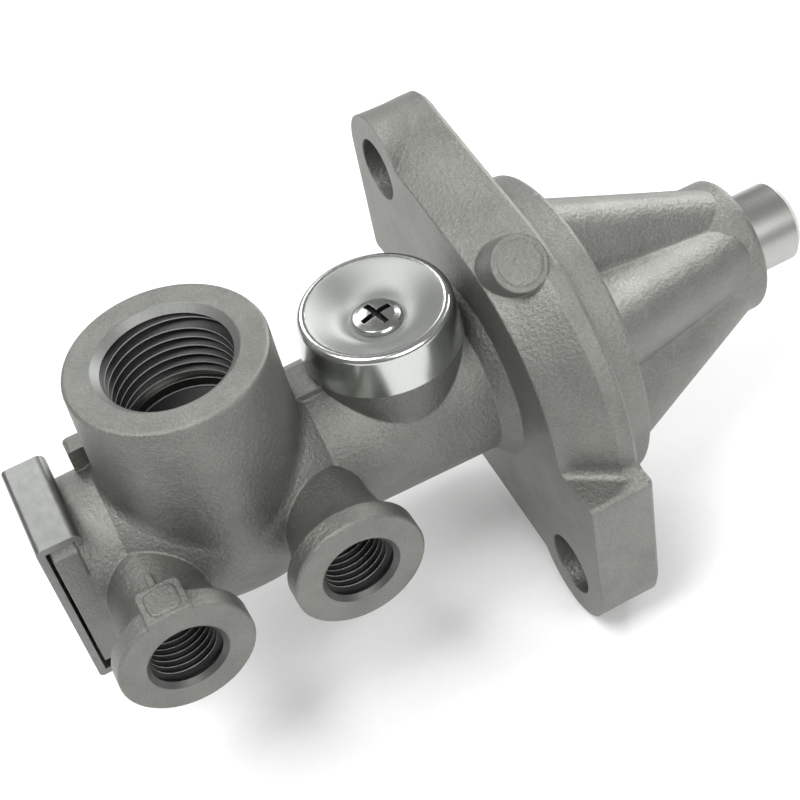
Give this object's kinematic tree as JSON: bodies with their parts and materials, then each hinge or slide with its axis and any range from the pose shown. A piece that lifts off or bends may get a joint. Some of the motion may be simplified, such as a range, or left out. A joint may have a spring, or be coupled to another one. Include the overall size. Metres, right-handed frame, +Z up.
{
  "type": "multiway valve",
  "caption": "Plunger-operated multiway air valve: cast body with threaded supply boss, side ports, screwed exhaust cap, two-eared flange and ribbed nose.",
  "frame": {"origin": "centre of the flange's mounting face, on the axis of the body and plunger", "axes": "+X along the body axis towards the plunger, +Z up the supply port"},
  "size_m": [0.113, 0.0608, 0.056],
  "materials": {
    "cast_aluminium": "fine cast grain, blasted",
    "turned_aluminium": "turned",
    "clip_steel": "satin galvanised",
    "cap_steel": "turned and polished",
    "screw_steel": "bright plated",
    "plunger_steel": "fine turned",
    "spring_steel": "plain",
    "rubber": "matt",
    "cage_plastic": "moulded",
    "bush_bronze": "sintered"
  },
  "bodies": {
    "housing": {"valve_body": "cast_aluminium", "end_plug": "turned_aluminium", "plug_o_ring": "rubber", "retaining_clip": "clip_steel", "stack_circlip": "spring_steel", "spring_seat": "spring_steel", "return_spring": "spring_steel", "spool_spring": "spring_steel", "guide_bush": "bush_bronze", "plunger_seal": "rubber", "wiper_ring": "rubber", "exhaust_flap": "rubber", "flap_plate": "cap_steel", "cap_spacer": "cap_steel", "exhaust_cap": "cap_steel", "exhaust_screw": "screw_steel", "port_one_cage": "cage_plastic", "supply_cage": "cage_plastic", "port_two_cage": "cage_plastic", "exhaust_cage": "cage_plastic", "spool_seal_1": "rubber", "spool_seal_2": "rubber", "spool_seal_3": "rubber", "spool_seal_4": "rubber"},
    "plunger": {"plunger": "plunger_steel"},
    "spool": {"spool": "plunger_steel"}
  },
  "joints": [
    {"name": "plunger_slide", "type": "slide", "parent": "housing", "child": "plunger", "axis": [-1, 0, 0], "range_m": [0, 0.0055], "stiffness_N_per_m": 6000, "springref_m": -0.004, "deforming": ["return_spring"]},
    {"name": "spool_slide", "type": "slide", "parent": "housing", "child": "spool", "axis": [-1, 0, 0], "range_m": [0, 0.0055], "stiffness_N_per_m": 500, "springref_m": -0.002, "deforming": ["spool_spring"]}
  ],
  "couplings": [
    {"joint": "spool_slide", "follows": "plunger_slide", "ratio": 1}
  ]
}
